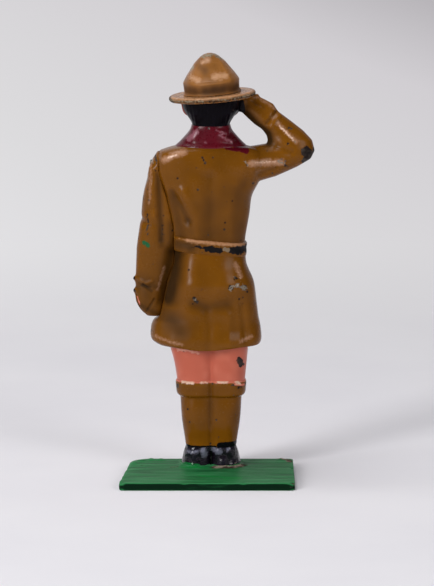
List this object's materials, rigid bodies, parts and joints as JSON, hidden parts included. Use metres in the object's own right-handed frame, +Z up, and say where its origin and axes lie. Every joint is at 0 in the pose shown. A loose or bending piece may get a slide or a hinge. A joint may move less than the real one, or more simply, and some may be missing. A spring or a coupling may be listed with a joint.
{
  "type": "toy figure",
  "caption": "Painted cast-metal toy figure of a uniformed scout, saluting on a thin rectangular base, with a hanging arm that swings on a shoulder stud.",
  "frame": {"origin": "middle of the flat underside of the base plate", "axes": "+Z up the figure, -Y the way the figure faces, +X towards the figure's left hand"},
  "size_m": [0.0366, 0.0255, 0.08],
  "materials": {
    "green_paint": "glossy brushed enamel",
    "black_paint": "glossy enamel",
    "khaki_paint": "glossy enamel, chipped",
    "flesh_paint": "satin enamel",
    "maroon_paint": "glossy enamel",
    "navy_paint": "satin enamel",
    "tan_paint": "glossy enamel, rubbed at the edges",
    "bare_metal": "dull bare metal"
  },
  "bodies": {
    "figure": {"base_plate": "green_paint", "left_shoe": "black_paint", "right_shoe": "black_paint", "left_stocking": "khaki_paint", "right_stocking": "khaki_paint", "left_stocking_cuff": "khaki_paint", "right_stocking_cuff": "khaki_paint", "left_knee": "flesh_paint", "right_knee": "flesh_paint", "tunic_skirt": "khaki_paint", "belt": "khaki_paint", "belt_buckle": "bare_metal", "tunic_body": "khaki_paint", "neckerchief": "maroon_paint", "neckerchief_knot": "maroon_paint", "head": "flesh_paint", "hair": "navy_paint", "hat_brim": "tan_paint", "hat_crown": "tan_paint", "right_upper_arm": "khaki_paint", "right_forearm": "khaki_paint", "right_hand": "khaki_paint", "shoulder_stud": "bare_metal"},
    "left_arm_swing": {"left_arm": "khaki_paint", "left_hand": "khaki_paint"}
  },
  "joints": [
    {"name": "left_shoulder", "type": "hinge", "parent": "figure", "child": "left_arm_swing", "pos_m": [0.0094, -0.0056, 0.0586], "axis": [-1, 0, 0], "range_deg": [-40, 130]}
  ]
}
